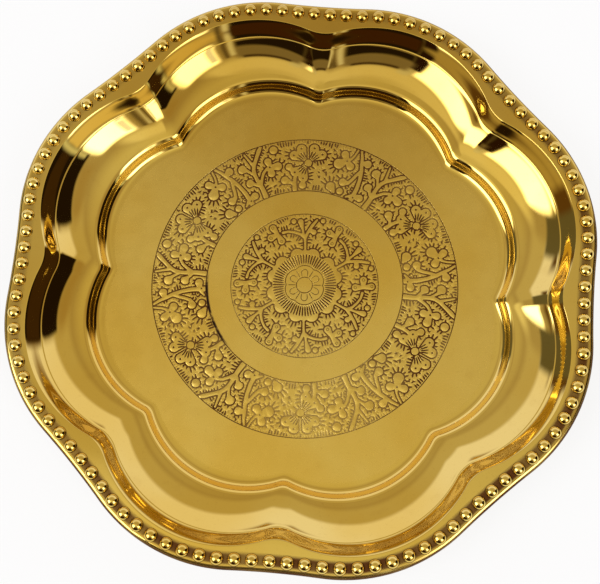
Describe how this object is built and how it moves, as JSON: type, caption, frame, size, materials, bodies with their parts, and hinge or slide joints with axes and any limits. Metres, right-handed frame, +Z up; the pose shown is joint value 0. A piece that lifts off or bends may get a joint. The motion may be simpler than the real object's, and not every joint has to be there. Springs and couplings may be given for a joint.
{
  "type": "puja thali",
  "caption": "Shallow round brass plate with a lobed outline, a stepped and coved wall, a narrow flange and a beaded rim, for carrying offerings.",
  "frame": {"origin": "centre of the plate on the surface that it stands on", "axes": "+Z up out of the plate; +X and +Y each through a hollow between two lobes"},
  "size_m": [0.196, 0.196, 0.0173],
  "materials": {
    "polished_brass": "polished, with darkened engraving",
    "brass_wire": "drawn, dull",
    "soft_solder": "wiped, dull"
  },
  "bodies": {
    "root": {"dish": "polished_brass", "bead_border": "polished_brass", "rim_wire": "brass_wire", "solder_seam": "soft_solder"}
  },
  "joints": []
}
